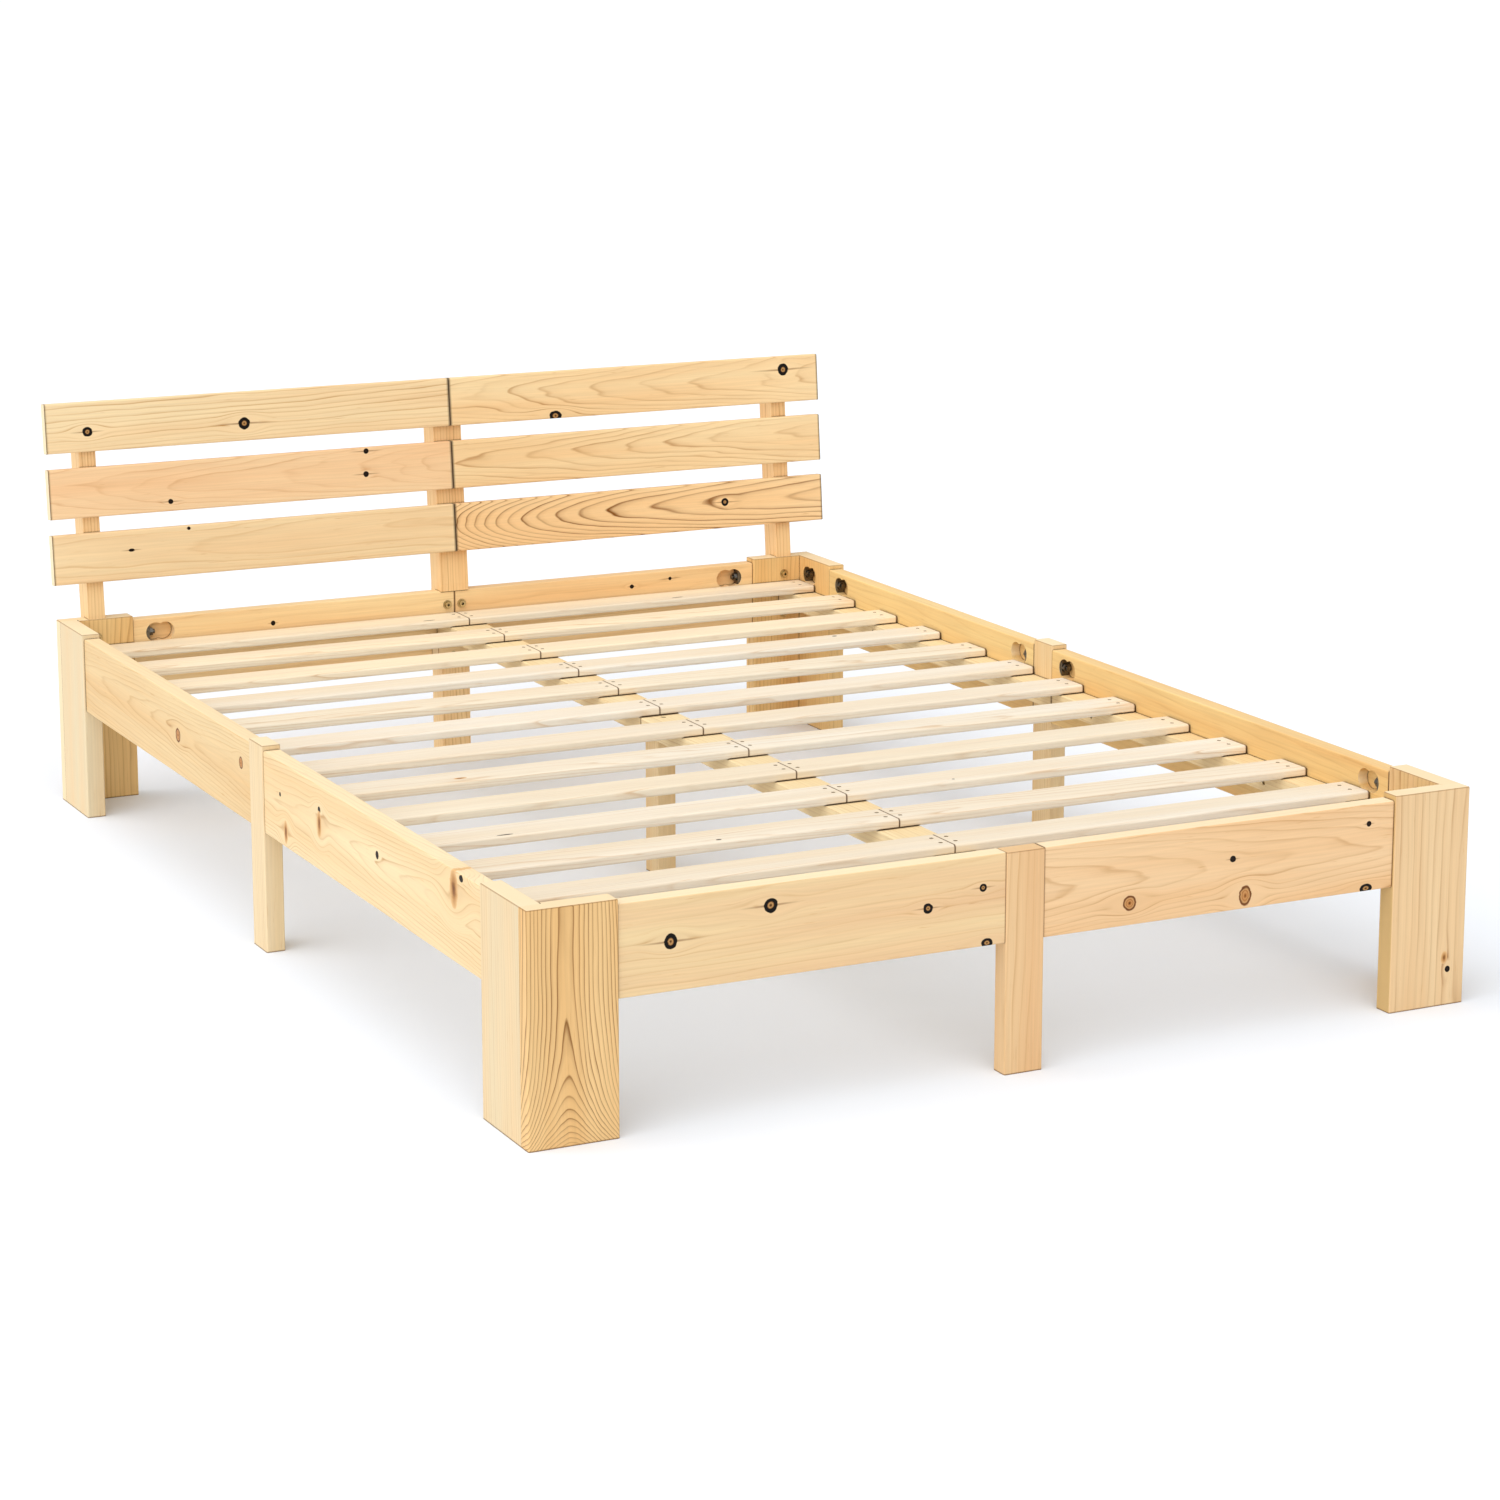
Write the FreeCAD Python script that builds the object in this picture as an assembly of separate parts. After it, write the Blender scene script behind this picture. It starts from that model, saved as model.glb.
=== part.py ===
import FreeCAD, Part
import math
import os

# Knock-down double bed in solid pine.
# Millimetres, +Z up, foot end towards -Y, head end towards +Y.
# The origin lies on the floor under the middle of the whole bed.

V = FreeCAD.Vector

# Mattress, and the room left round it inside the frame
MATTRESS_W = 1400.0
MATTRESS_L = 2000.0
ROOM_SIDE = 8.0
ROOM_END = 13.0

# Corner posts: an end board with a rabbet that takes the edge of a side board
POST_T = 32.0
POST_W = 130.0
POST_LIP = 24.0
POST_ABOVE_RAIL = 8.0
SEAM_BEVEL = 0.8

# Rails and the legs between them; the right leg stands behind the middle of its side
RAIL_T = 28.0
RAIL_H = 128.0
RAIL_OFF_FLOOR = 188.0
RAIL_JOINT_GAP = 1.0
LEG_W = 60.0
LEG_PROUD = 2.0
RIGHT_LEG_BACK = 105.0

# Mattress deck: slats in two halves on side ledges and a middle beam
DECK_BELOW_RAIL = 39.0
SLAT_ROWS = 13
SLAT_W = 68.0
SLAT_T = 14.0
SLAT_END_GAP = 3.0
SLAT_MID_GAP = 1.5
LEDGE_W = 45.0
LEDGE_H = 30.0
LEDGE_END_GAP = 1.0
BEAM_W = 70.0
BEAM_T = 27.0
BEAM_END_GAP = 1.0
BEAM_LEG_X = 32.0
BEAM_LEG_Y = 48.0
BEAM_LEG_OFF = 130.0
CLEAT_W = 90.0
CLEAT_T = 28.0
CLEAT_H = 40.0

# Headboard: planks on uprights, notched over the head end and leaning back above it
UPRIGHT_D = 48.0
UPRIGHT_SETBACK = 2.0
SIDE_UPRIGHT_W = 30.0
SIDE_UPRIGHT_IN = 50.0
MID_UPRIGHT_W = 54.0
BEND_ABOVE_POST = 6.0
LEAN = 0.09
PLANK_ROWS = 3
PLANK_H = 87.0
PLANK_T = 18.0
PLANK_GAP = 27.5
PLANK_START = 60.0
PLANK_OVERHANG = 12.0
PLANK_MID_GAP = 1.5
UPRIGHT_BELOW_PLANK = 10.0

# Rail bolts in pockets of two overlapping bores, with a dowel lower down
FIT = 0.3
BOLT_D = 8.0
BOLT_IN_POST = 25.0
BOLT_IN_LIP = 16.0
POCKET_D = 34.0
POCKET_STEP = 18.0
POCKET_WALL = 24.0
POCKET_FLOOR = 11.0
POCKET_BELOW_TOP = 25.0
WASHER_DEEP = 7.0
WASHER_SHORT = 3.0
NUT_H = 6.5
BOLT_PAST_NUT = 4.0
DOWEL_D = 8.0
DOWEL_HALF = 25.0
DOWEL_ABOVE_BOTTOM = 35.0

# Bolts that hold the uprights
UP_BOLT_D = 6.0
UP_BOLT_IN = 13.0
UP_BOLT_HEAD_D = 11.0
UP_BOLT_HEAD_H = 4.0
UP_BOLT_SOCKET_D = 5.0
UP_BOLT_SOCKET_H = 2.5
UP_WASHER_D = 16.0
UP_WASHER_T = 1.6
UP_BOLT_BELOW_TOP = 25.0
UP_BOLT_PAIR = 28.0
SIDE_BOLT_UNDER_LEDGE = 18.0

# Sunk wood screws
SCREW_D = 4.5
SCREW_HEAD_D = 9.0
SCREW_HEAD_H = 3.0
SCREW_SINK = 2.0
SCREW_TIP = 12.0
SCREW_SPREAD = 48.0
SCREWS_PER_LEDGE = 4
SLAT_SCREW_D = 3.0
SLAT_SCREW_HEAD_D = 6.0
SLAT_SCREW_HEAD_H = 2.0
SLAT_SCREW_SINK = 1.0
SLAT_SCREW_TIP = 10.0
SLAT_SCREW_SPREAD = 27.0
SLAT_SCREW_FROM_JOINT = 12.0

# Rounded edges
EASE_POST = 2.5
EASE_RAIL = 2.5
EASE_SLAT = 4.0
EASE_PLANK = 3.0
EASE_SMALL = 1.5

# Levels and faces that follow from the sizes above
IN_X = MATTRESS_W / 2 + ROOM_SIDE
IN_Y = MATTRESS_L / 2 + ROOM_END
OUT_X = IN_X + POST_T
OUT_Y = IN_Y + POST_T
RAIL_TOP = RAIL_OFF_FLOOR + RAIL_H
POST_H = RAIL_TOP + POST_ABOVE_RAIL
LEG_T = RAIL_T + LEG_PROUD
SEAM_Y = OUT_Y - POST_LIP
SIDE_BOARD_END = SEAM_Y - POST_W
END_BOARD_END = OUT_X - POST_W
REAR_IN_Y = OUT_Y - RAIL_T
LEDGE_TOP = RAIL_TOP - DECK_BELOW_RAIL - SLAT_T
BEAM_BOTTOM = LEDGE_TOP - BEAM_T
BEND_Z = POST_H + BEND_ABOVE_POST
LEAN_ANGLE = math.degrees(math.atan(LEAN))
LEAN_COS = math.cos(math.atan(LEAN))
PLANK_END = OUT_X + PLANK_OVERHANG
PLANK_STACK = PLANK_ROWS * PLANK_H + (PLANK_ROWS - 1) * PLANK_GAP
UPRIGHT_TOP = BEND_Z + LEAN_COS * (PLANK_START + PLANK_STACK) - UPRIGHT_BELOW_PLANK
UPRIGHT_Y = IN_Y + UPRIGHT_SETBACK
REAR_Y = UPRIGHT_Y + UPRIGHT_D + LEAN * (UPRIGHT_TOP - BEND_Z)
MID_Y = (REAR_Y - OUT_Y) / 2
POCKET_DEEP = RAIL_T - POCKET_FLOOR
BOLT_LINE = POCKET_FLOOR + POCKET_DEEP / 2
POCKET_Z = RAIL_H - POCKET_BELOW_TOP
NUT_FLATS = 1.625 * BOLT_D
SIDE_UPRIGHT_X = OUT_X - SIDE_UPRIGHT_IN - SIDE_UPRIGHT_W / 2
WOOD_SCREW = (SCREW_D, SCREW_HEAD_D, SCREW_HEAD_H, SCREW_SINK)
SLAT_SCREW = (SLAT_SCREW_D, SLAT_SCREW_HEAD_D, SLAT_SCREW_HEAD_H, SLAT_SCREW_SINK)

nodes = {}
hardware = {}
holes = []


def box(x0, x1, y0, y1, z0, z1):
    """Plain block between two corners."""
    return Part.makeBox(x1 - x0, y1 - y0, z1 - z0, V(x0, y0, z0))


def eased(solid, radius, wanted):
    """Round the edges that wanted(direction, middle) picks."""
    chosen = []
    for edge in solid.Edges:
        way = edge.tangentAt(edge.FirstParameter)
        if wanted(way, edge.CenterOfMass):
            chosen.append(edge)
    return solid.makeFillet(radius, chosen)


def board(x0, x1, y0, y1, z0, z1, radius):
    """Block with its four longest edges rounded."""
    solid = box(x0, x1, y0, y1, z0, z1)
    spans = [x1 - x0, y1 - y0, z1 - z0]
    axis = spans.index(max(spans))
    return eased(solid, radius, lambda way, mid: abs(way[axis]) > 0.99)


def mirrored(solid, in_x, in_y):
    """Copy of a solid for another corner of the bed."""
    solid = solid.copy()
    if in_x:
        solid = solid.mirror(V(0, 0, 0), V(1, 0, 0))
    if in_y:
        solid = solid.mirror(V(0, 0, 0), V(0, 1, 0))
    return solid


def add(name, solid, hole=None):
    """Put one piece of hardware in its group and keep the hole it needs."""
    hardware.setdefault(name, []).append(solid)
    if hole is not None:
        holes.append(hole)


def rod(radius, at, way, length):
    """Round bar from a point along a direction."""
    return Part.makeCylinder(radius, length, at, way)


def screw(name, at, way, length, place=None, kind=WOOD_SCREW):
    """Sunk screw of a kind that starts at a point of a wood face and runs inwards."""
    shank, head, tall, sink = kind
    seat = at + way * sink
    steel = rod(head / 2, seat, way, tall)
    steel = steel.fuse(rod(shank / 2, seat, way, length - sink)).removeSplitter()
    outside = at - way
    hole = rod(head / 2 + FIT, outside, way, 1 + sink + tall)
    hole = hole.fuse(rod(shank / 2 + FIT, outside, way, 1 + length + FIT))
    if place is not None:
        place(steel)
        place(hole)
    add(name, steel, hole)


def post_end_board():
    """End board of the front left post, rabbeted on its inner face at the outer edge."""
    def wanted(way, mid):
        upright = abs(way.z) > 0.99
        at_rabbet = mid.x < -OUT_X + 1 and mid.y > -IN_Y - 1
        return (upright and not at_rabbet) or (abs(way.z) < 0.01 and mid.z > POST_H - 1)
    solid = box(-OUT_X, -END_BOARD_END, -OUT_Y, -IN_Y, 0, POST_H)
    solid = eased(solid, EASE_POST, wanted)
    rabbet = box(-OUT_X - 1, -IN_X, -SEAM_Y, -IN_Y + 1, -1, POST_H + 1)
    return solid.cut(rabbet)


def post_side_board():
    """Side board of the front left post, its front edge housed in the rabbet."""
    def wanted(way, mid):
        upright = abs(way.z) > 0.99 and mid.y > -SIDE_BOARD_END - 1
        top = abs(way.z) < 0.01 and mid.z > POST_H - 1 and mid.y > -SEAM_Y + 1
        return upright or top
    solid = box(-OUT_X, -IN_X, -SEAM_Y, -SIDE_BOARD_END, 0, POST_H)
    solid = eased(solid, EASE_POST, wanted)
    corners = [V(-OUT_X, -SEAM_Y, -1), V(-OUT_X + SEAM_BEVEL, -SEAM_Y, -1),
               V(-OUT_X, -SEAM_Y + SEAM_BEVEL, -1), V(-OUT_X, -SEAM_Y, -1)]
    bevel = Part.Face(Part.makePolygon(corners)).extrude(V(0, 0, POST_H + 2))
    return solid.cut(bevel)


def leg(x0, x1, y0, y1, top):
    """Leg from the floor up between two rails, with rounded corners and top."""
    def wanted(way, mid):
        return abs(way.z) > 0.99 or mid.z > top - 1
    return eased(box(x0, x1, y0, y1, 0, top), EASE_POST, wanted)


def pocket():
    """Two overlapping bores from the inner face near the start of a board."""
    first = V(POCKET_WALL + POCKET_D / 2, POCKET_FLOOR, POCKET_Z)
    second = first + V(POCKET_STEP, 0, 0)
    bore = rod(POCKET_D / 2, first, V(0, 1, 0), POCKET_DEEP + 1)
    return bore.fuse(rod(POCKET_D / 2, second, V(0, 1, 0), POCKET_DEEP + 1))


def bolt_set(reach):
    """Bolt, half-moon washer and nut at the start of a board, with the pocket and bolt hole."""
    line = V(0, BOLT_LINE, POCKET_Z)
    along = V(1, 0, 0)
    flat = POCKET_WALL + WASHER_DEEP
    bolt = rod(BOLT_D / 2, line - along * reach, along, reach + flat + NUT_H + BOLT_PAST_NUT)
    hole = rod(BOLT_D / 2 + FIT, line - along * (reach + FIT), along, reach + FIT + POCKET_WALL + 1)
    tall = POCKET_DEEP - WASHER_SHORT
    centre = V(POCKET_WALL + POCKET_D / 2, BOLT_LINE - tall / 2, POCKET_Z)
    moon = rod(POCKET_D / 2 - FIT, centre, V(0, 1, 0), tall)
    keep = box(0, flat, 0, RAIL_T, POCKET_Z - POCKET_D, POCKET_Z + POCKET_D)
    moon = moon.common(keep).cut(rod(BOLT_D / 2 + FIT, line, along, POCKET_D * 2))
    corners = []
    for k in range(7):
        turn = math.radians(60 * k)
        radius = NUT_FLATS / 2 / math.cos(math.radians(30))
        corners.append(line + V(flat, radius * math.cos(turn), radius * math.sin(turn)))
    nut = Part.Face(Part.makePolygon(corners)).extrude(along * NUT_H)
    nut = nut.cut(rod(BOLT_D / 2 + FIT, line, along, POCKET_D * 2))
    return {"rail_bolts": (bolt, hole), "rail_washers": (moon, pocket()), "rail_nuts": (nut, None)}


def dowel_set():
    """Dowel at the start of a board with its hole, half in the board and half in the post."""
    low = V(0, RAIL_T / 2, DOWEL_ABOVE_BOTTOM)
    along = V(1, 0, 0)
    dowel = rod(DOWEL_D / 2, low - along * DOWEL_HALF, along, 2 * DOWEL_HALF)
    deep = DOWEL_HALF + FIT
    hole = rod(DOWEL_D / 2 + FIT, low - along * deep, along, 2 * deep)
    return {"rail_dowels": (dowel, hole)}


def join(sets, length, at, turn, flip):
    """Place sets of fittings at the start of a board, or at its end when flipped."""
    for name, pair in sets.items():
        placed = []
        for piece in pair:
            if piece is not None:
                if flip:
                    piece = piece.mirror(V(length / 2, 0, 0), V(1, 0, 0))
                piece.rotate(V(0, 0, 0), V(0, 0, 1), turn)
                piece.translate(at)
            placed.append(piece)
        add(name, placed[0], placed[1])


def rail(name, length, at, turn, start, end):
    """Rail with its outer face on the given line; pockets and bolts at the ends asked for."""
    for wanted, flip in ((start, False), (end, True)):
        if wanted:
            join(bolt_set(BOLT_IN_POST), length, at, turn, flip)
            join(dowel_set(), length, at, turn, flip)
    solid = board(0, length, 0, RAIL_T, 0, RAIL_H, EASE_RAIL)
    solid.rotate(V(0, 0, 0), V(0, 0, 1), turn)
    solid.translate(at)
    nodes[name] = solid


def lean_back(solid):
    """Carry a piece drawn against an upright plane onto the leaning face of the uprights."""
    solid.rotate(V(0, 0, 0), V(1, 0, 0), -LEAN_ANGLE)
    solid.translate(V(0, UPRIGHT_Y, BEND_Z))
    return solid


def upright(x_mid, width, bottom, notch_low, notch_top):
    """Upright that leans back above the bend, cut away in front for the boards of the head end."""
    shift = LEAN * (UPRIGHT_TOP - BEND_Z)
    outline = [(0, bottom), (0, BEND_Z), (shift, UPRIGHT_TOP), (shift + UPRIGHT_D, UPRIGHT_TOP),
               (UPRIGHT_D, BEND_Z), (UPRIGHT_D, bottom), (0, bottom)]
    points = [V(x_mid - width / 2, UPRIGHT_Y + y, z) for y, z in outline]
    solid = Part.Face(Part.makePolygon(points)).extrude(V(width, 0, 0))
    notch = box(x_mid - width, x_mid + width, UPRIGHT_Y - 1, OUT_Y, notch_low, notch_top)
    return solid.cut(notch)


def upright_bolt(x, face_y, z):
    """Bolt with a washer from the inner side of the head end into an upright."""
    way = V(0, 1, 0)
    seat = V(x, face_y - UP_WASHER_T, z)
    head = rod(UP_BOLT_HEAD_D / 2, seat - way * UP_BOLT_HEAD_H, way, UP_BOLT_HEAD_H)
    socket_at = seat - way * (UP_BOLT_HEAD_H + 1)
    head = head.cut(rod(UP_BOLT_SOCKET_D / 2, socket_at, way, UP_BOLT_SOCKET_H + 1))
    reach = OUT_Y + UP_BOLT_IN - seat.y
    steel = head.fuse(rod(UP_BOLT_D / 2, seat, way, reach)).removeSplitter()
    ring = rod(UP_WASHER_D / 2, seat, way, UP_WASHER_T)
    ring = ring.cut(rod(UP_BOLT_D / 2 + FIT, seat - way, way, UP_WASHER_T + 2))
    add("upright_bolts", steel, rod(UP_BOLT_D / 2 + FIT, seat, way, reach + FIT))
    add("upright_bolts", ring)


def build_posts_and_legs():
    """Four corner posts of two boards each, and the three legs between the rails."""
    for tag, in_x, in_y in (("fl", False, False), ("fr", True, False),
                            ("rl", False, True), ("rr", True, True)):
        nodes["post_%s_end" % tag] = mirrored(post_end_board(), in_x, in_y)
        nodes["post_%s_side" % tag] = mirrored(post_side_board(), in_x, in_y)
    z = RAIL_OFF_FLOOR
    face = IN_X + RAIL_T
    join(bolt_set(BOLT_IN_LIP), POST_W, V(-face, -SIDE_BOARD_END, z), -90, True)
    join(bolt_set(BOLT_IN_LIP), POST_W, V(-face, SEAM_Y, z), -90, False)
    join(bolt_set(BOLT_IN_LIP), POST_W, V(face, -SEAM_Y, z), 90, False)
    join(bolt_set(BOLT_IN_LIP), POST_W, V(face, SIDE_BOARD_END, z), 90, True)
    half = LEG_W / 2
    nodes["leg_front"] = leg(-half, half, -IN_Y - LEG_T, -IN_Y, RAIL_TOP)
    nodes["leg_left"] = leg(-IN_X - LEG_T, -IN_X, -half, half, POST_H)
    back = RIGHT_LEG_BACK
    nodes["leg_right"] = leg(IN_X, IN_X + LEG_T, back - half, back + half, POST_H)


def build_rails():
    """Eight rails: two at the foot, two at the head, two on each side."""
    half = LEG_W / 2
    z = RAIL_OFF_FLOOR
    foot = END_BOARD_END - half
    side = SIDE_BOARD_END - half
    head = END_BOARD_END - RAIL_JOINT_GAP / 2
    rail("rail_front_left", foot, V(-END_BOARD_END, -IN_Y - RAIL_T, z), 0, True, True)
    rail("rail_front_right", foot, V(half, -IN_Y - RAIL_T, z), 0, True, True)
    rail("rail_left_front", side, V(-IN_X - RAIL_T, -half, z), -90, True, True)
    rail("rail_left_rear", side, V(-IN_X - RAIL_T, SIDE_BOARD_END, z), -90, True, True)
    back = RIGHT_LEG_BACK
    rail("rail_right_front", side + back, V(IN_X + RAIL_T, -SIDE_BOARD_END, z), 90, True, True)
    rail("rail_right_rear", side - back, V(IN_X + RAIL_T, back + half, z), 90, True, True)
    rail("rail_rear_right", head, V(END_BOARD_END, OUT_Y, z), 180, True, False)
    rail("rail_rear_left", head, V(-RAIL_JOINT_GAP / 2, OUT_Y, z), 180, False, True)


def build_deck():
    """Ledges, middle beam with its leg and cleats, and the rows of slats."""
    for side, sign in (("left", -1), ("right", 1)):
        for end, back in (("front", False), ("rear", True)):
            near = LEDGE_END_GAP
            far = IN_Y - LEDGE_END_GAP
            solid = board(-IN_X, -IN_X + LEDGE_W, -far, -near, LEDGE_TOP - LEDGE_H, LEDGE_TOP, EASE_SMALL)
            nodes["ledge_%s_%s" % (side, end)] = mirrored(solid, sign > 0, back)
            for k in range(SCREWS_PER_LEDGE):
                y = near + (far - near) * (k + 0.5) / SCREWS_PER_LEDGE
                at = V(sign * (IN_X - LEDGE_W), y if back else -y, LEDGE_TOP - LEDGE_H / 2)
                screw("ledge_screws", at, V(sign, 0, 0), LEDGE_W + SCREW_TIP)

    joint = BEAM_LEG_OFF
    half = BEAM_W / 2
    front = -IN_Y + BEAM_END_GAP
    rear = REAR_IN_Y - BEAM_END_GAP
    low, high = BEAM_BOTTOM, LEDGE_TOP
    nodes["beam_front"] = board(-half, half, front, joint - BEAM_END_GAP / 2, low, high, EASE_SMALL)
    nodes["beam_rear"] = board(-half, half, joint + BEAM_END_GAP / 2, rear, low, high, EASE_SMALL)
    thick, deep = BEAM_LEG_X / 2, BEAM_LEG_Y / 2
    nodes["leg_beam"] = board(-thick, thick, joint - deep, joint + deep, 0, low, EASE_SMALL)
    down = V(0, 0, -1)
    for y in (joint - BEAM_LEG_Y / 4, joint + BEAM_LEG_Y / 4):
        screw("beam_screws", V(0, y, LEDGE_TOP), down, BEAM_T + 2 * SCREW_TIP)

    low = BEAM_BOTTOM - CLEAT_H
    side = CLEAT_W / 2
    nodes["cleat_front"] = board(-side, side, -IN_Y, -IN_Y + CLEAT_T, low, BEAM_BOTTOM, EASE_SMALL)
    nodes["cleat_rear"] = board(-side, side, REAR_IN_Y - CLEAT_T, REAR_IN_Y, low, BEAM_BOTTOM, EASE_SMALL)
    for y in (-IN_Y + CLEAT_T / 2, REAR_IN_Y - CLEAT_T / 2):
        screw("beam_screws", V(0, y, LEDGE_TOP), down, BEAM_T + 2 * SCREW_TIP)
    level = low + SCREW_HEAD_D
    for x in (-LEG_W / 4, LEG_W / 4):
        screw("beam_screws", V(x, -IN_Y + CLEAT_T, level), V(0, -1, 0), CLEAT_T + SCREW_TIP)
        screw("beam_screws", V(x, REAR_IN_Y - CLEAT_T, level), V(0, 1, 0), CLEAT_T + RAIL_T + SCREW_TIP)

    first = REAR_IN_Y - SLAT_END_GAP - SLAT_W
    last = -IN_Y + SLAT_END_GAP
    for k in range(SLAT_ROWS):
        y = first + (last - first) * k / (SLAT_ROWS - 1)
        half_row = board(-IN_X + SLAT_END_GAP, -SLAT_MID_GAP / 2, y, y + SLAT_W,
                         LEDGE_TOP, LEDGE_TOP + SLAT_T, EASE_SLAT)
        pair = [half_row, mirrored(half_row, True, False)]
        nodes["slat_%02d" % (k + 1)] = Part.makeCompound(pair)
        for from_middle in (SLAT_SCREW_FROM_JOINT, IN_X - LEDGE_W / 2):
            for x in (-from_middle, from_middle):
                for step in (-SLAT_SCREW_SPREAD / 2, SLAT_SCREW_SPREAD / 2):
                    at = V(x, y + SLAT_W / 2 + step, LEDGE_TOP + SLAT_T)
                    screw("slat_screws", at, down, SLAT_T + SLAT_SCREW_TIP, None, SLAT_SCREW)


def build_headboard():
    """Three uprights, three rows of planks in two halves, and what holds them."""
    low = RAIL_OFF_FLOOR
    nodes["upright_left"] = upright(-SIDE_UPRIGHT_X, SIDE_UPRIGHT_W, low, low - 1, POST_H)
    nodes["upright_right"] = upright(SIDE_UPRIGHT_X, SIDE_UPRIGHT_W, low, low - 1, POST_H)
    nodes["upright_centre"] = upright(0, MID_UPRIGHT_W, 0, low, RAIL_TOP)
    for x in (-SIDE_UPRIGHT_X, SIDE_UPRIGHT_X):
        upright_bolt(x, IN_Y, RAIL_TOP - UP_BOLT_BELOW_TOP)
        upright_bolt(x, IN_Y, LEDGE_TOP - LEDGE_H - SIDE_BOLT_UNDER_LEDGE)
    for x in (-UP_BOLT_PAIR / 2, UP_BOLT_PAIR / 2):
        upright_bolt(x, REAR_IN_Y, RAIL_TOP - UP_BOLT_BELOW_TOP)

    through = UPRIGHT_D * LEAN_COS
    for row, level in enumerate(("low", "mid", "top")[:PLANK_ROWS]):
        start = PLANK_START + row * (PLANK_H + PLANK_GAP)
        plank = board(-PLANK_END, -PLANK_MID_GAP / 2, -PLANK_T, 0, start, start + PLANK_H, EASE_PLANK)
        for side, flip in (("left", False), ("right", True)):
            nodes["plank_%s_%s" % (level, side)] = lean_back(mirrored(plank, flip, False))
        for x in (-SIDE_UPRIGHT_X, -MID_UPRIGHT_W / 4, MID_UPRIGHT_W / 4, SIDE_UPRIGHT_X):
            for step in (-SCREW_SPREAD / 2, SCREW_SPREAD / 2):
                at = V(x, through, start + PLANK_H / 2 + step)
                screw("plank_screws", at, V(0, -1, 0), through + SCREW_TIP, lean_back)


def bored(solid):
    """Cut every hole that reaches a piece of wood."""
    reach = solid.BoundBox
    cutters = [hole for hole in holes if hole.BoundBox.intersect(reach)]
    if cutters:
        solid = solid.cut(cutters)
    return solid


def main():
    """Build every piece, bore it and write one file for each."""
    build_posts_and_legs()
    build_rails()
    build_deck()
    build_headboard()
    os.makedirs("parts", exist_ok=True)
    for name in nodes:
        nodes[name] = bored(nodes[name])
    for name, pieces in hardware.items():
        nodes[name] = Part.makeCompound(pieces)
    for name, shape in nodes.items():
        shape.translate(V(0, -MID_Y, 0))
        shape.exportStep("parts/%s.step" % name)


main()
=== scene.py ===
"""Finishes, studio and camera for a double bed of bolted solid pine boards.

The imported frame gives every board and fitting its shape. This script gives each board its own growth rings
and knots, gives the fittings their plating, and sets the bed on a pale floor in soft light.
"""

from __future__ import annotations

import logging
import math
from abc import ABC, abstractmethod
from collections.abc import Callable, Iterator
from dataclasses import dataclass, field, replace
from enum import Enum
from functools import partial

import bpy
import numpy as np
from mathutils import Euler, Matrix, Vector

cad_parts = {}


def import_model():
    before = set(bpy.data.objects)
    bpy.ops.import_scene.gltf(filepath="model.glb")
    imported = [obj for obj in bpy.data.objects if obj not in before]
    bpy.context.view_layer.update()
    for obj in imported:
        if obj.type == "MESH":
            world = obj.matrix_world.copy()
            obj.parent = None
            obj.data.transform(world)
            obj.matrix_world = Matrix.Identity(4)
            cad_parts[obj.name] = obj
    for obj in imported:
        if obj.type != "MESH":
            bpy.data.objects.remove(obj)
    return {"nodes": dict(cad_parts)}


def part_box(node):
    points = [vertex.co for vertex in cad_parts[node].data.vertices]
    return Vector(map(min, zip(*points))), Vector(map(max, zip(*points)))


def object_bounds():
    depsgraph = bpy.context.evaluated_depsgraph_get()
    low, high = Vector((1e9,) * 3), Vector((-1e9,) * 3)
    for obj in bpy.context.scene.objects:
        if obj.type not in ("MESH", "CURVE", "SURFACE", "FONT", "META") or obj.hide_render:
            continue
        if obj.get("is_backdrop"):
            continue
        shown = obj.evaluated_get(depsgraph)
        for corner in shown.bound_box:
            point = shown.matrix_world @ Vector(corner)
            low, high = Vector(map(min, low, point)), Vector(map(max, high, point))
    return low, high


LOG = logging.getLogger("pine_bed")
MM = 0.001
MM_PER_METRE = 1000.0
HEAD_LEAN = 0.09

Colour = tuple[float, float, float, float]
Nodes = dict[str, bpy.types.Object]
Socket = bpy.types.NodeSocket
Put = Callable[..., Socket]
Stops = tuple[tuple[float, str], ...]
Tree = bpy.types.NodeTree
Value = float | int | tuple[float, ...] | Vector | Euler | Socket

# The sRGB curve: a straight line up to the knee, and a power above it
SRGB_KNEE, SRGB_SLOPE, SRGB_OFFSET, SRGB_POWER = 0.04045, 12.92, 0.055, 2.4
BYTE_MAX = 255.0

# Sockets and setting of a node that mixes two colours
SHARE, UNDER, OVER, MIXED = 0, 6, 7, 2
RGB = {"data_type": "RGBA"}

# Stops that a new colour ramp already has
FIRST_STOPS = 2

# Painted shade in joints, pockets and sockets, by the open share of their surroundings
JOINT_RAYS = 8
JOINT_CLOSED = 0.4
JOINT_DARKEST = 0.9

# Noises: their average, and how far a board's seed and a noise's layer move them
NOISE_MEAN = 0.5
SEED_STEP = (7.3, 1.9, 2.3)
LAYER_STEP = (3.1, 5.7, 0.0)

# The eye of the grain round a knot, in the knot's radii
EYE_SHORTENING = 0.42
EYE_HELD = 0.7
EYE_REACH = 2.7
EYE_HOLD = 0.93
RIM_UNEVEN = 0.4
KNOT_RIM = 1.0
KNOT_BLUR = 1.12
HALO_INNER = 1.1
HALO_OUTER = 1.7
CROWD_END = 3.0

# The dark streak that runs out of a knot
TAIL_SLIMMEST = 4.5
TAIL_LEAST_MM = 1.6
TAIL_FULL = 0.1
TAIL_SHARE = 0.8

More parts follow.
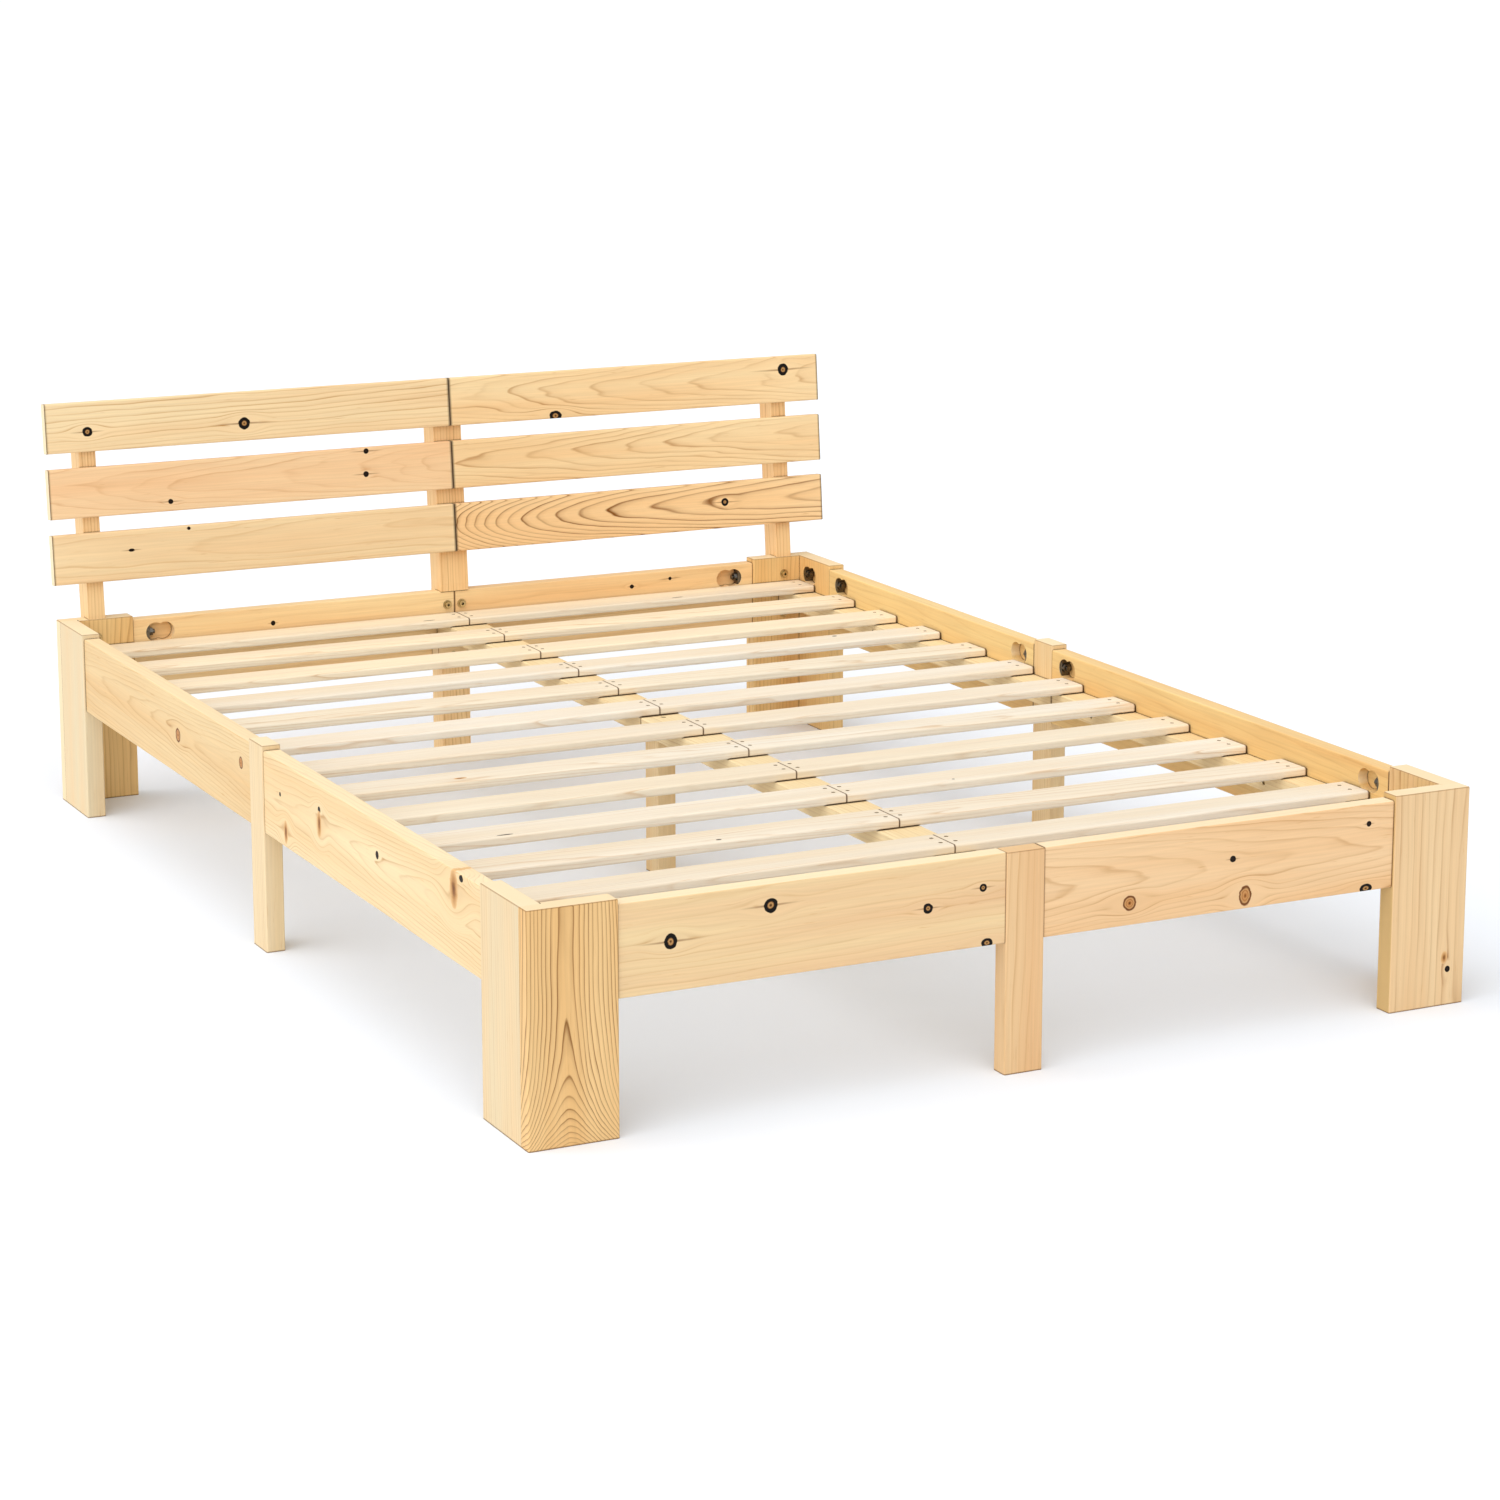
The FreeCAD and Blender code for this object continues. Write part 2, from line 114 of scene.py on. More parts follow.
# Greys of one growth ring, from its earlywood to the sharp end of its latewood
RING_PROFILE: Stops = (
    (0.0, "#5A5A5A"),
    (1.0, "#8A8A8A"),
    (0.07, "#000000"),
    (0.5, "#2C2C2C"),
    (0.78, "#8C8C8C"),
    (0.93, "#FFFFFF"),
)

# Half of a piece, in pieces
HALF_PIECE = 0.5

# How squarely a face looks along an axis, from not at all to wholly
FACING_NONE = 0.75
FACING_FULL = 0.95


def linear(colour: str) -> Colour:
    """Turn an sRGB hex colour into linear light.

    Args:
        colour: Six hex digits after a hash sign.

    Returns:
        Linear red, green and blue, and an alpha of one.
    """
    shares = np.array([int(colour[i : i + 2], 16) for i in (1, 3, 5)]) / BYTE_MAX
    power = ((shares + SRGB_OFFSET) / (1 + SRGB_OFFSET)) ** SRGB_POWER
    light = np.where(shares <= SRGB_KNEE, shares / SRGB_SLOPE, power)
    return (float(light[0]), float(light[1]), float(light[2]), 1.0)


def add(
    tree: Tree,
    kind: str,
    inputs: dict[str | int, Value],
    out: str | int = 0,
    stops: Stops = (),
    **settings: object,
) -> Socket:
    """Add one shader node with its settings, its values and its links.

    Args:
        tree: The node tree that takes the node.
        kind: Blender's name of the node's class.
        inputs: A value or a socket to link, for each input by its name or its number.
        out: The name or number of the output that is wanted.
        stops: Places and hex colours of a colour ramp, its two ends first.
        settings: The node's own properties.

    Returns:
        The wanted output socket, or the first input of a node that has no output.
    """
    node = tree.nodes.new(kind)
    for name, setting in settings.items():
        setattr(node, name, setting)
    for number, (place, colour) in enumerate(stops):
        ramp = node.color_ramp.elements
        stop = ramp[number] if number < FIRST_STOPS else ramp.new(place)
        stop.position = place
        stop.color = linear(colour)
    for key, value in inputs.items():
        if isinstance(value, Socket):
            tree.links.new(value, node.inputs[key])
        else:
            node.inputs[key].default_value = value
    return node.outputs[out] if node.outputs else node.inputs[0]


def new_material(name: str) -> tuple[bpy.types.Material, Put]:
    """Make an empty node material.

    Args:
        name: The real material's name, and the piece's.

    Returns:
        The material, without any node, and the function that adds a node to it.
    """
    material = bpy.data.materials.new(name)
    material.use_nodes = True
    material.node_tree.nodes.clear()
    return material, partial(add, material.node_tree)


def painted_joint_shade(put: Put, reach_mm: float, open_above: float) -> Socket:
    """Darken joints, pockets and sockets with painted shade, the more closed in they are.

    Args:
        put: Adds a node to the material.
        reach_mm: How far from joints the painted shade reaches.
        open_above: The open share of the surroundings above which a place has no painted shade.

    Returns:
        The share of painted shade, most in a narrow gap.
    """
    near = {"Distance": reach_mm * MM}
    open_share = put("ShaderNodeAmbientOcclusion", near, "AO", samples=JOINT_RAYS)
    reach = {
        "Value": open_share,
        "From Min": JOINT_CLOSED,
        "From Max": open_above,
        "To Min": JOINT_DARKEST,
        "To Max": 0.0,
    }
    return put("ShaderNodeMapRange", reach, interpolation_type="SMOOTHSTEP")


def clouds(put: Put, size_mm: float, detail: float) -> Socket:
    """Make an even noise with patches of a real size.

    Args:
        put: Adds a node to the material.
        size_mm: The size of its patches.
        detail: How many finer octaves it has.

    Returns:
        The noise, about 0.5 on the average.
    """
    here = put("ShaderNodeTexCoord", {}, "Object")
    size = {"Vector": here, "Scale": 1 / (size_mm * MM), "Detail": detail}
    return put("ShaderNodeTexNoise", size)


class Lie(Enum):
    """How a board lies: the directions of its length, its width and its thickness."""

    RAIL_ACROSS = ((1, 0, 0), (0, 0, 1), (0, -1, 0))
    RAIL_ALONG = ((0, 1, 0), (0, 0, 1), (1, 0, 0))
    POST_END = ((0, 0, 1), (1, 0, 0), (0, 1, 0))
    POST_SIDE = ((0, 0, 1), (0, 1, 0), (-1, 0, 0))
    SLAT = ((1, 0, 0), (0, 1, 0), (0, 0, 1))
    BEAM = ((0, 1, 0), (-1, 0, 0), (0, 0, 1))
    HEAD_PLANK = ((1, 0, 0), (0, HEAD_LEAN, 1), (0, -1, HEAD_LEAN))
    UPRIGHT = ((0, HEAD_LEAN, 1), (1, 0, 0), (0, 1, -HEAD_LEAN))

    def turn(self) -> Matrix:
        """Give the rotation that takes the frame's axes to length, width and thickness."""
        return Matrix([Vector(axis).normalized() for axis in self.value])


class Sawn(Enum):
    """How a board was sawn: where the log's pith lies, across and behind the board's middle, in mm."""

    FLAT = (6.0, -42.0)
    FLAT_OFF = (-26.0, -46.0)
    RIFT = (78.0, -64.0)
    QUARTER = (150.0, -18.0)


class KnotKind(Enum):
    """What a knot looks like: its colours by the share of its radius, the pith and the rim first."""

    LIVE = (
        (0.0, "#4E2A10"),
        (1.0, "#7A4823"),
        (0.18, "#A86C36"),
        (0.36, "#C58E56"),
        (0.52, "#A56A36"),
        (0.68, "#CB9860"),
        (0.88, "#5E3518"),
    )
    DEAD = (
        (0.0, "#3A2310"),
        (1.0, "#120A05"),
        (0.14, "#6B4722"),
        (0.32, "#BE9058"),
        (0.44, "#8A5F34"),
        (0.54, "#0E0703"),
        (0.9, "#0A0502"),
    )
    PIN = ((0.0, "#2E1A0B"), (1.0, "#20120A"), (0.5, "#0E0703"))
    SPIKE = (
        (0.0, "#6E4420"),
        (1.0, "#DDB27C"),
        (0.3, "#8F5F31"),
        (0.55, "#B98751"),
        (0.8, "#CFA069"),
    )


class Patch(Enum):
    """The noises of a board: size of the patches along and across the grain in mm, layer and detail."""

    RIM = (14.0, 7.0, 1, 2.0)
    WANDER = (420.0, 62.0, 2, 3.0)
    # Real fibres are finer than a millimetre; they are drawn 3 mm wide so that they show at this distance.
    FIBRE = (150.0, 3.0, 3, 3.0)
    TONE = (900.0, 58.0, 4, 2.0)
    # Real resin ducts are a fraction of a millimetre wide; they are drawn 2.2 mm wide for the same reason.
    DUCT = (42.0, 2.2, 5, 2.0)
    SWAY = (260.0, 90.0, 6, 2.0)
    FADE = (230.0, 40.0, 7, 2.0)


@dataclass(frozen=True)
class Knot:
    """A knot that goes through a board. Distances from it are counted in its radii.

    Attributes:
        along: Its place along the board from the board's middle, in mm.
        across: Its place across the board from the board's middle, in mm.
        radius: Its radius across the grain, in mm.
        stretch: Its length by its width.
        kind: What it looks like.
        tail: How many radii the dark streak runs out of each side.
    """

    along: float
    across: float
    radius: float
    stretch: float = 1.0
    kind: KnotKind = KnotKind.DEAD
    tail: float = 0.0

    def away(self, put: Put, board: Socket) -> Socket:
        """Measure places from the knot's axis.

        Args:
            put: Adds a node to the material.
            board: Places on the board in mm.

        Returns:
            Places along and across the grain, in the knot's radii.
        """
        scale = (1 / (self.radius * self.stretch), 1 / self.radius, 0.0)
        offset = (-self.along * scale[0], -self.across * scale[1], 0.0)
        return put("ShaderNodeVectorMath", {0: board, 1: scale, 2: offset}, operation="MULTIPLY_ADD")

    def eye(self, put: Put, away: Socket) -> Socket:
        """Measure the eye round the knot: the distance from it, shortened along the grain.

        Args:
            put: Adds a node to the material.
            away: Places from the knot in its radii.

        Returns:
            The distance in the knot's radii.
        """
        shortened = {0: away, 1: (EYE_SHORTENING, 1.0, 0.0)}
        oval = put("ShaderNodeVectorMath", shortened, operation="MULTIPLY")
        return put("ShaderNodeVectorMath", {0: oval}, "Value", operation="LENGTH")

    def step(self, put: Put, away: Socket, eye: Socket) -> Socket:
        """Lead the grain round the knot.

        A point near the knot takes the grain of a point nearer to the knot's axis, so lines that would cross
        the knot part round it in a pointed eye, and crowd together beside it.

        Args:
            put: Adds a node to the material.
            away: Places from the knot in its radii.
            eye: The distance in the knot's eye.

        Returns:
            The step from a point to the point whose grain it takes, in mm.
        """
        near = {"Value": eye, "From Min": EYE_HELD, "From Max": EYE_REACH, "To Min": EYE_HOLD, "To Max": 0.0}
        hold = put("ShaderNodeMapRange", near, interpolation_type="SMOOTHSTEP")
        to_axis = {0: away, 1: (0.0, -self.radius, 0.0)}
        inward = put("ShaderNodeVectorMath", to_axis, operation="MULTIPLY")
        return put("ShaderNodeVectorMath", {0: inward, "Scale": hold}, operation="SCALE")

    def streak(self, put: Put, away: Socket) -> Socket:
        """Draw the dark streak out of both sides of the knot, a long narrow ellipse.

        Args:
            put: Adds a node to the material.
            away: Places from the knot in its radii.

        Returns:
            The share of the streak.
        """
        slimness = min(TAIL_SLIMMEST, self.radius / TAIL_LEAST_MM)
        narrow = {0: away, 1: (1 / self.tail, slimness, 0.0)}
        drawn = put("ShaderNodeVectorMath", narrow, operation="MULTIPLY")
        far = put("ShaderNodeVectorMath", {0: drawn}, "Value", operation="LENGTH")
        fade = {"Value": far, "From Min": TAIL_FULL, "From Max": 1.0, "To Min": TAIL_SHARE, "To Max": 0.0}
        return put("ShaderNodeMapRange", fade)

    def lines(self, put: Put, eye: Socket, strength: float) -> Socket:
        """Leave the wood pale next to the knot, with stronger ring lines beyond that.

        Args:
            put: Adds a node to the material.
            eye: The distance in the knot's eye.
            strength: How many times as strong the lines are where they crowd.

        Returns:
            The factor for the strength of the lines.
        """
        halo = put("ShaderNodeMapRange", {"Value": eye, "From Min": HALO_INNER, "From Max": HALO_OUTER})
        crowd = {"Value": eye, "From Min": HALO_OUTER, "From Max": CROWD_END, "To Min": strength}
        beside = put("ShaderNodeMapRange", crowd)
        return put("ShaderNodeMath", {0: halo, 1: beside}, operation="MULTIPLY")


@dataclass
class Grain:
    """What the knots do to the grain of a board.

    Attributes:
        places: Places on the board in mm, led round the knots.
        nearest: The distance to the nearest knot of each kind, in its radii.
        streaks: The shares of the dark streaks.
        lines: How strong each knot leaves the ring lines.
    """

    places: Socket
    nearest: dict[KnotKind, Socket] = field(default_factory=dict)
    streaks: list[Socket] = field(default_factory=list)
    lines: list[Socket] = field(default_factory=list)


@dataclass(frozen=True)
class PineFinish:
    """Planed and sanded pine, left pale under a thin matt oil.

    Broad cream earlywood and thin honey latewood lines follow the log's rings, so a flat-sawn face shows
    arches and a rift-sawn one stripes. The grain parts round the knots, dead knots have a black rim of bark
    and sawn ends are pale. The arrises beside the ends and the joints are darkened with painted shade, and
    the narrow faces are painted lighter or darker as light would fall on them.

    Attributes:
        early: The earlywood.
        late: The latewood lines.
        blush: The warmer patches of the earlywood.
        streak: The streaks out of the knots.
        resin: The short resin ducts.
        end_shade: The painted shade on the side faces beside the ends, where boards meet each other and the
            floor.
        joint_shade: The painted shade in joints and pockets.
        end_grain: The sanded sawn ends.
        edge: The painted light and shade of the narrow faces: lighter on top faces, darker on shaded sides.
        edge_light_and_shade_share: How much of that colour they take.
        sawn: How the board was sawn.
        pith_shift: How much further across the pith lies, in mm.
        ring_mm: The width of a growth ring.
        taper: How much the trunk tapers along its length.
        wander_mm: How far the rings wander.
        flare_mm: How far the trunk flares towards one end.
        flare_at: Where along the board the flare has that size, in mm.
        flare_long: The length in which the flare dies away, in mm.
        strength: The strength of the latewood lines.
        evenness: The least share of that strength that a ring has.
        eye_strength: How many times as strong the lines are beside a knot.
        knots: The knots that the board shows.
        seed: The number that gives the board its own noises.
    """

    early: str = "#E6CFAA"
    late: str = "#B58044"
    blush: str = "#E1BA8D"
    streak: str = "#7A4E24"
    resin: str = "#C08A4E"
    end_shade: str = "#7A5230"
    joint_shade: str = "#4A2E16"
    end_grain: str = "#F0DDB8"
    edge: str = "#F8E8C6"
    edge_light_and_shade_share: float = 0.0
    sawn: Sawn = Sawn.RIFT
    pith_shift: float = 0.0
    ring_mm: float = 6.0
    taper: float = 0.02
    wander_mm: float = 22.0
    flare_mm: float = 0.0
    flare_at: float = 0.0
    flare_long: float = 60.0
    strength: float = 0.5
    evenness: float = 0.28
    eye_strength: float = 1.9
    knots: tuple[Knot, ...] = ()
    seed: int = 0

    # Limits between which a noise fades the lines, warms the earlywood and shows resin ducts
    fade_span: tuple[float, float] = (0.3, 0.62)
    tone_span: tuple[float, float] = (0.34, 0.7)
    resin_span: tuple[float, float] = (0.68, 0.8)
    resin_share: float = 0.5

    # Limits of the fibres' noise, and the shades that they give the wood
    fibre_span: tuple[float, float] = (0.3, 0.7)
    fibre_shades: tuple[float, float] = (0.945, 1.035)

    # Sway of the trunk, sawn ends, and the painted shade beside the ends and in joints
    sway_mm: float = 10.0
    end_lines: float = 0.35
    end_share: float = 0.75
    end_shade_mm: float = 2.2
    end_shade_full_mm: float = 0.4
    end_shade_share: float = 0.8
    joint_shade_mm: float = 4.5
    joint_shade_open: float = 0.75

    # The thin matt oil, and the relief of the latewood over the fibres
    roughness: tuple[float, float] = (0.45, 0.65)
    ior: float = 1.5
    gloss: float = 0.15
    late_height: float = 0.6
    relief_mm: float = 0.3
    relief_strength: float = 0.35

    def _noise(self, put: Put, place: Socket, patch: Patch) -> Socket:
        """Make a noise that is drawn out along the grain.

        Args:
            put: Adds a node to the material.
            place: Places on the board in mm.
            patch: Which of the board's noises it is.

        Returns:
            The noise, about 0.5 on the average.
        """
        long_mm, wide_mm, layer, detail = patch.value
        scale = (1 / long_mm, 1 / wide_mm, 1 / wide_mm)
        shift = tuple(self.seed * far + layer * near for far, near in zip(SEED_STEP, LAYER_STEP))
        at = put("ShaderNodeVectorMath", {0: place, 1: scale, 2: shift}, operation="MULTIPLY_ADD")
        return put("ShaderNodeTexNoise", {"Vector": at, "Scale": 1.0, "Detail": detail})

    def _place(self, put: Put, turn: Matrix, middle: Vector) -> tuple[Socket, Socket]:
        """Give places on the board.

        Args:
            put: Adds a node to the material.
            turn: The rotation to the board's length, width and thickness.
            middle: The board's middle in metres.

        Returns:
            Places in mm along, across and through the board, straight and with the slow sway of the trunk.
        """
        placing = {
            "Vector": put("ShaderNodeTexCoord", {}, "Object"),
            "Location": -(turn @ middle) * MM_PER_METRE,
            "Rotation": turn.to_euler(),
            "Scale": (MM_PER_METRE,) * 3,
        }
        straight = put("ShaderNodeMapping", placing, vector_type="POINT")
        slow = self._noise(put, straight, Patch.SWAY)
        sway = put("ShaderNodeMath", {0: slow, 1: NOISE_MEAN}, operation="SUBTRACT")
        sideways = {0: (0.0, self.sway_mm, 0.0), "Scale": sway}
        aside = put("ShaderNodeVectorMath", sideways, operation="SCALE")
        return straight, put("ShaderNodeVectorMath", {0: straight, 1: aside}, operation="ADD")

    def _bend(self, put: Put, board: Socket) -> Grain:
        """Lead the grain round all the knots.

        Args:
            put: Adds a node to the material.
            board: Places on the board in mm.

        Returns:
            The bent grain, with what each knot adds to it.
        """
        grain = Grain(board)
        if not self.knots:
            return grain
        uneven = self._noise(put, board, Patch.RIM)
        blur = put("ShaderNodeMath", {0: uneven, 1: NOISE_MEAN}, operation="SUBTRACT")
        for knot in self.knots:
            away = knot.away(put, board)
            plain = put("ShaderNodeVectorMath", {0: away}, "Value", operation="LENGTH")
            reach = put("ShaderNodeMath", {0: blur, 1: RIM_UNEVEN, 2: plain}, operation="MULTIPLY_ADD")
            eye = knot.eye(put, away)
            step = knot.step(put, away, eye)
            grain.places = put("ShaderNodeVectorMath", {0: grain.places, 1: step}, operation="ADD")
            if knot.tail:
                grain.streaks.append(knot.streak(put, away))
            if knot.kind is not KnotKind.SPIKE:
                grain.lines.append(knot.lines(put, eye, self.eye_strength))
            if knot.kind in grain.nearest:
                reach = put("ShaderNodeMath", {0: grain.nearest[knot.kind], 1: reach}, operation="MINIMUM")
            grain.nearest[knot.kind] = reach
        return grain

    def _cone(self, put: Put, places: Socket) -> Socket:
        """Measure the log: the distance from the pith plus the taper times the length.

        A flare, which dies away exponentially along the board, is taken off and crowds arches at one end.

        Args:
            put: Adds a node to the material.
            places: Places on the board in mm, led round the knots.

        Returns:
            The distance in mm, the same all along a growth ring.
        """
        across, behind = self.sawn.value
        section = {0: places, 1: (0.0, 1.0, 1.0), 2: (0.0, -across - self.pith_shift, -behind)}
        from_pith = put("ShaderNodeVectorMath", section, operation="MULTIPLY_ADD")
        radius = put("ShaderNodeVectorMath", {0: from_pith}, "Value", operation="LENGTH")
        along = put("ShaderNodeSeparateXYZ", {0: places}, "X")
        cone = put("ShaderNodeMath", {0: along, 1: self.taper, 2: radius}, operation="MULTIPLY_ADD")
        if not self.flare_mm:
            return cone
        rate = -1 / self.flare_long
        falling = {0: along, 1: rate, 2: -self.flare_at * rate}
        drop = put("ShaderNodeMath", falling, operation="MULTIPLY_ADD")
        flare = put("ShaderNodeMath", {0: drop}, operation="EXPONENT")
        return put("ShaderNodeMath", {0: flare, 1: -self.flare_mm, 2: cone}, operation="MULTIPLY_ADD")

    def _rings(self, put: Put, grain: Grain) -> Socket:
        """Draw the growth rings.

        A ring is a cone round the pith: the distance in the log plus a slow wander, counted in ring widths.
        The fraction of the count rises slowly to latewood and ends sharply, the whole number gives each ring
        its own strength, and the lines fade in and out along the board and are stronger beside a knot.

        Args:
            put: Adds a node to the material.
            grain: The grain of the board.

        Returns:
            The share of latewood.
        """
        cone = self._cone(put, grain.places)
        wander = self._noise(put, grain.places, Patch.WANDER)
        shape = put("ShaderNodeMath", {0: wander, 1: self.wander_mm, 2: cone}, operation="MULTIPLY_ADD")
        count = put("ShaderNodeMath", {0: shape, 1: 1 / self.ring_mm}, operation="MULTIPLY")
        part = put("ShaderNodeMath", {0: count}, operation="FRACT")
        number = put("ShaderNodeMath", {0: count}, operation="FLOOR")
        lot = put("ShaderNodeTexWhiteNoise", {"W": number}, "Value", noise_dimensions="1D")
        weight = put("ShaderNodeMapRange", {"Value": lot, "To Min": self.evenness, "To Max": 1.0})
        slow = self._noise(put, grain.places, Patch.FADE)
        low, high = self.fade_span
        fading = {"Value": slow, "From Min": low, "From Max": high, "To Min": self.evenness}
        fade = put("ShaderNodeMapRange", fading)
        share = put("ShaderNodeValToRGB", {"Fac": part}, stops=RING_PROFILE)
        for factor in (weight, fade, *grain.lines):
            share = put("ShaderNodeMath", {0: share, 1: factor}, operation="MULTIPLY")
        return put("ShaderNodeMath", {0: share, 1: self.strength}, operation="MULTIPLY", use_clamp=True)

    def _facing(self, put: Put, axis: Vector) -> Socket:
        """Find the faces that look along an axis, either way.

        Args:
            put: Adds a node to the material.
            axis: The axis, of length one.

        Returns:
            One on those faces and none on the others.
        """
        normal = put("ShaderNodeNewGeometry", {}, "Normal")
        facing = put("ShaderNodeVectorMath", {0: normal, 1: tuple(axis)}, "Value", operation="DOT_PRODUCT")
        square = put("ShaderNodeMath", {0: facing}, operation="ABSOLUTE")
        return put("ShaderNodeMapRange", {"Value": square, "From Min": FACING_NONE, "From Max": FACING_FULL})

    def _painted_end_shade(self, put: Put, straight: Socket, end: Socket, length: float, pieces: int) -> Socket:
        """Paint shade on the arrises beside the sawn ends, where boards meet each other and the floor.

        The place along the board, counted in pieces from the middle of one, is halfway between two whole
        numbers at an end.

        Args:
            put: Adds a node to the material.
            straight: Places on the board in mm.
            end: How far a face is a sawn end.
            length: The whole length in mm.
            pieces: How many pieces lie end to end.

        Returns:
            The share of painted shade: how near a side face is to an end.
        """
        side = put("ShaderNodeMath", {0: 1.0, 1: end}, operation="SUBTRACT")
        along = put("ShaderNodeSeparateXYZ", {0: straight}, "X")
        one = length / pieces
        from_middle = 0.0 if pieces % 2 else HALF_PIECE
        count = put("ShaderNodeMath", {0: along, 1: 1 / one, 2: from_middle}, operation="MULTIPLY_ADD")
        part = put("ShaderNodeMath", {0: count}, operation="FRACT")
        off = put("ShaderNodeMath", {0: part, 1: HALF_PIECE}, operation="SUBTRACT")
        reach = {
            "Value": put("ShaderNodeMath", {0: off}, operation="ABSOLUTE"),
            "From Min": self.end_shade_mm / one,
            "From Max": self.end_shade_full_mm / one,
            "To Max": self.end_shade_share,
        }
        near = put("ShaderNodeMapRange", reach)
        return put("ShaderNodeMath", {0: near, 1: side}, operation="MULTIPLY")

    def _wood(self, put: Put, grain: Grain, latewood: Socket, fibre: Socket, edge: Socket) -> Socket:
        """Colour the clear wood: earlywood with warm patches, ring lines, fibres, resin, and painted light
        and shade on the narrow faces.

        Args:
            put: Adds a node to the material.
            grain: The grain of the board.
            latewood: The share of latewood.
            fibre: The noise of the fibres.
            edge: How far a face is a narrow face, which takes painted light and shade.

        Returns:
            The wood's colour, without its knots.
        """
        low, high = self.tone_span
        patches = {"Value": self._noise(put, grain.places, Patch.TONE), "From Min": low, "From Max": high}
        tone = put("ShaderNodeMapRange", patches)
        low, high = self.resin_span
        ducts = {"Value": self._noise(put, grain.places, Patch.DUCT), "From Min": low, "From Max": high}
        resin = put("ShaderNodeMapRange", {**ducts, "To Max": self.resin_share})
        low, high = self.fibre_span
        dark, light = self.fibre_shades
        shades = {"Value": fibre, "From Min": low, "From Max": high, "To Min": dark, "To Max": light}
        shade = put("ShaderNodeMapRange", shades)
        ground = {SHARE: tone, UNDER: linear(self.early), OVER: linear(self.blush)}
        wood = put("ShaderNodeMix", ground, MIXED, **RGB)
        wood = put("ShaderNodeMix", {SHARE: latewood, UNDER: wood, OVER: linear(self.late)}, MIXED, **RGB)
        shaded = {SHARE: 1.0, UNDER: wood, OVER: shade}
        wood = put("ShaderNodeMix", shaded, MIXED, blend_type="MULTIPLY", **RGB)
        wood = put("ShaderNodeMix", {SHARE: resin, UNDER: wood, OVER: linear(self.resin)}, MIXED, **RGB)
        # Painted light and shade: the narrow faces are made lighter or darker by the way they face
        edge_painted_share = put("ShaderNodeMath", {0: edge, 1: self.edge_light_and_shade_share}, operation="MULTIPLY")
        return put("ShaderNodeMix", {SHARE: edge_painted_share, UNDER: wood, OVER: linear(self.edge)}, MIXED, **RGB)

    def _knotted(self, put: Put, wood: Socket, grain: Grain) -> Socket:
        """Draw the knots and their streaks on the wood.

        Args:
            put: Adds a node to the material.
            wood: The colour of the clear wood.
            grain: The grain of the board.

        Returns:
            The colour with the knots.
        """
        for streak in grain.streaks:
            dark = {SHARE: streak, UNDER: wood, OVER: linear(self.streak)}
            wood = put("ShaderNodeMix", dark, MIXED, **RGB)
        for kind, distance in grain.nearest.items():
            colour = put("ShaderNodeValToRGB", {"Fac": distance}, stops=kind.value)
            rim = {"Value": distance, "From Min": KNOT_BLUR, "From Max": KNOT_RIM}
            share = put("ShaderNodeMapRange", rim, interpolation_type="SMOOTHSTEP")
            wood = put("ShaderNodeMix", {SHARE: share, UNDER: wood, OVER: colour}, MIXED, **RGB)
        return wood

    def material(self, piece: str, lie: Lie, box: tuple[Vector, Vector], pieces: int) -> bpy.types.Material:
        """Make this finish for one board.

        Args:
            piece: The board's name.
            lie: How the board lies.
            box: The board's lowest and highest corner in metres.
            pieces: How many pieces of the board lie end to end.

        Returns:
            The board's own material.
        """
        material, put = new_material(f"pine_oiled.{piece}")
        turn = lie.turn()
        low, high = box
        length = abs(turn[0] @ (high - low)) * MM_PER_METRE
        straight, board = self._place(put, turn, (low + high) / 2)
        grain = self._bend(put, board)
        # Faces along the length are sawn ends; faces along the width take painted light and shade
        end, edge = self._facing(put, turn[0]), self._facing(put, turn[1])
        sanded = put("ShaderNodeMapRange", {"Value": end, "To Min": 1.0, "To Max": self.end_lines})
        latewood = put("ShaderNodeMath", {0: self._rings(put, grain), 1: sanded}, operation="MULTIPLY")
        fibre = self._noise(put, grain.places, Patch.FIBRE)
        wood = self._knotted(put, self._wood(put, grain, latewood, fibre, edge), grain)
        sawn_end = put("ShaderNodeMath", {0: end, 1: self.end_share}, operation="MULTIPLY")
        # Pale sawn ends, then painted shade beside the ends and in joints
        marks = (
            (self.end_grain, sawn_end),
            (self.end_shade, self._painted_end_shade(put, straight, end, length, pieces)),
            (self.joint_shade, painted_joint_shade(put, self.joint_shade_mm, self.joint_shade_open)),
        )
        for colour, share in marks:
            wood = put("ShaderNodeMix", {SHARE: share, UNDER: wood, OVER: linear(colour)}, MIXED, **RGB)
        smooth, rough = self.roughness
        raised = {0: latewood, 1: self.late_height, 2: fibre}
        height = put("ShaderNodeMath", raised, operation="MULTIPLY_ADD")
        relief = {"Height": height, "Strength": self.relief_strength, "Distance": self.relief_mm * MM}
        skin = {
            "Base Color": wood,
            "Roughness": put("ShaderNodeMapRange", {"Value": fibre, "To Min": smooth, "To Max": rough}),
            "Normal": put("ShaderNodeBump", relief),
            "IOR": self.ior,
            "Specular IOR Level": self.gloss,
        }
        surface = put("ShaderNodeBsdfPrincipled", skin)
        put("ShaderNodeOutputMaterial", {"Surface": surface})
        return material


